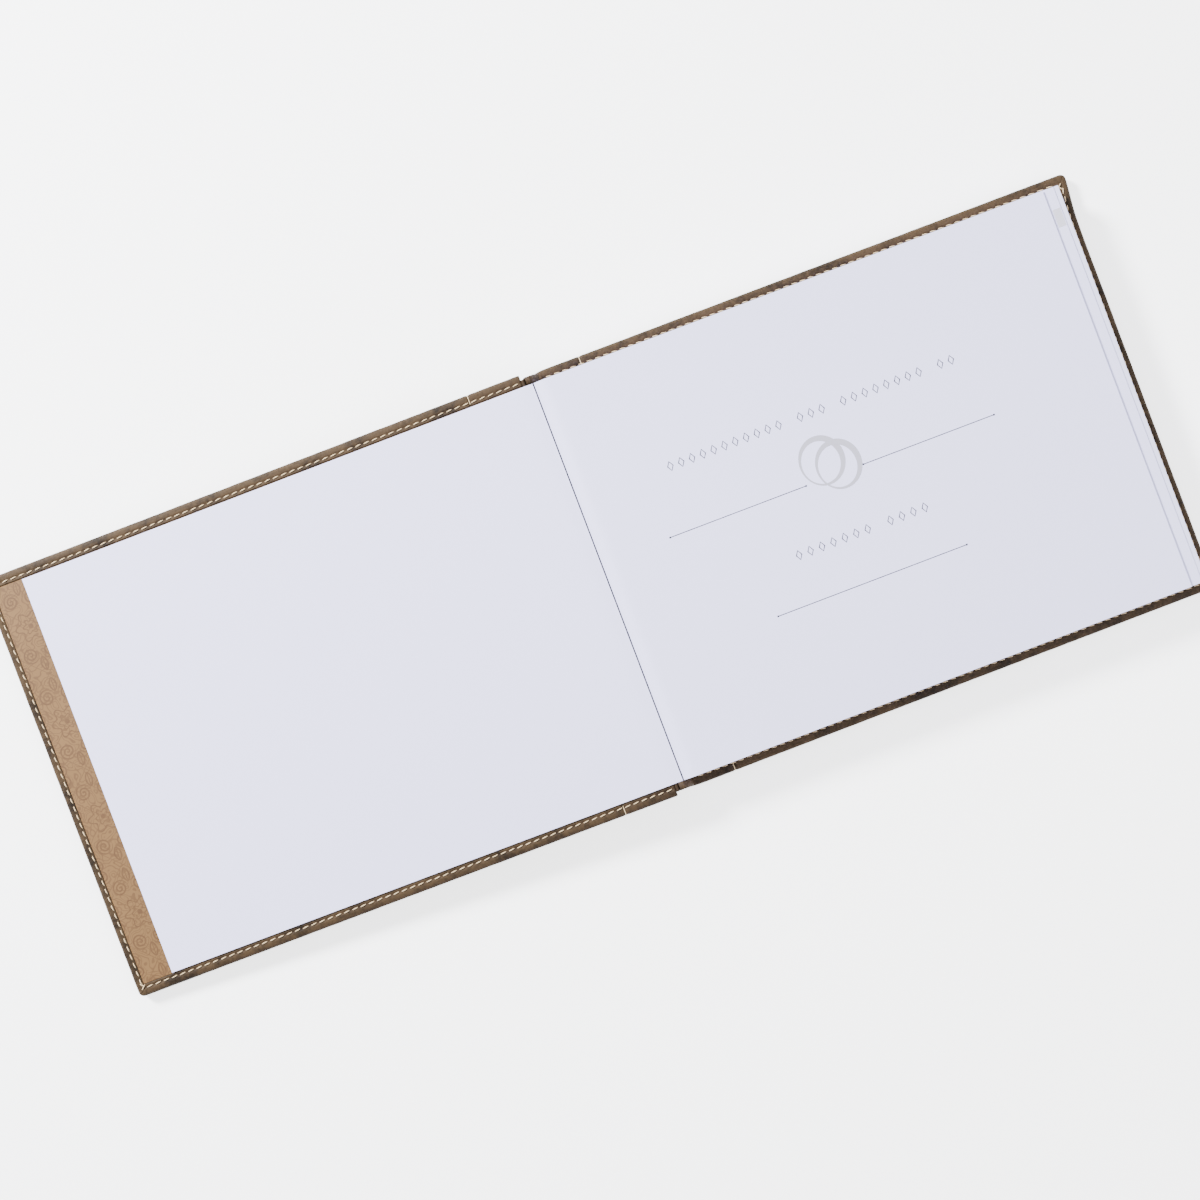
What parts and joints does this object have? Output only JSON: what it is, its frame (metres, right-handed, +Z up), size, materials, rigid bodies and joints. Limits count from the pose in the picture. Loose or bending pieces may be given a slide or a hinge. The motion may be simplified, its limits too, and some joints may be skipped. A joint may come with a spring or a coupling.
{
  "type": "wedding guest book",
  "caption": "Landscape guest book in padded brown leather with contrast edge stitching, patterned endpapers and sewn white pages, lying open at its title leaf.",
  "frame": {"origin": "centre of the open book's footprint, on the table", "axes": "+X from the front cover on the left to the back cover on the right, +Y from tail to head of the page, +Z up out of the open pages"},
  "size_m": [0.4674, 0.18, 0.0176],
  "materials": {
    "cover_leather": "padded olive-brown imitation leather with a fine pebble grain and a low satin sheen",
    "band_leather": "the same imitation leather, unpadded at the joints",
    "stitch_thread": "cream twisted sewing thread",
    "padding_foam": "thin open foam sheet",
    "greyboard": "plain greyboard",
    "endpaper": "tan paper printed with a tonal damask and a fine diagonal trellis",
    "leaf_paper": "smooth cool-white writing paper",
    "section_paper": "smooth cool-white writing paper, folded in sections",
    "linen_thread": "fine natural linen thread",
    "mull_cloth": "open-weave starched cotton",
    "kraft_paper": "plain brown kraft paper"
  },
  "bodies": {
    "back_case": {"back_cover_leather": "cover_leather", "back_cover_band": "band_leather", "back_band_stitching": "stitch_thread", "back_edge_stitching": "stitch_thread", "back_cover_padding": "padding_foam", "back_cover_board": "greyboard", "back_pastedown": "endpaper", "back_joint_strip": "band_leather", "front_joint_strip": "band_leather", "spine_leather": "band_leather", "spine_board": "greyboard", "back_flyleaf": "leaf_paper", "section_1": "section_paper", "section_2": "section_paper", "section_3": "section_paper", "section_4": "section_paper", "section_5": "section_paper", "section_6": "section_paper", "section_7": "section_paper", "section_8": "section_paper", "mull": "mull_cloth", "spine_liner": "kraft_paper", "sewing_thread_1": "linen_thread", "sewing_thread_2": "linen_thread", "sewing_thread_3": "linen_thread", "sewing_thread_4": "linen_thread"},
    "front_cover": {"front_cover_leather": "cover_leather", "front_cover_band": "band_leather", "front_band_stitching": "stitch_thread", "front_edge_stitching": "stitch_thread", "front_cover_padding": "padding_foam", "front_cover_board": "greyboard", "front_pastedown": "endpaper"},
    "flyleaf": {"front_flyleaf": "leaf_paper"},
    "title_leaf": {"title_leaf": "leaf_paper"},
    "guest_leaf": {"guest_leaf": "leaf_paper"}
  },
  "joints": [
    {"name": "front_cover_hinge", "type": "hinge", "parent": "back_case", "child": "front_cover", "pos_m": [-0.0002, 0, 0.0173], "axis": [0, -1, 0], "range_deg": [-182.75, 0], "deforming": ["front_joint_strip"]},
    {"name": "flyleaf_turn", "type": "hinge", "parent": "back_case", "child": "flyleaf", "pos_m": [0.0023, 0, 0.0173], "axis": [0, -1, 0], "range_deg": [-182.75, 0]},
    {"name": "title_leaf_turn", "type": "hinge", "parent": "back_case", "child": "title_leaf", "pos_m": [0.0023, 0, 0.0173], "axis": [0, -1, 0], "range_deg": [0, 182.75]},
    {"name": "guest_leaf_turn", "type": "hinge", "parent": "back_case", "child": "guest_leaf", "pos_m": [0.0023, 0, 0.0173], "axis": [0, -1, 0], "range_deg": [0, 182.75]}
  ],
  "couplings": [
    {"joint": "flyleaf_turn", "follows": "front_cover_hinge", "ratio": 1}
  ]
}
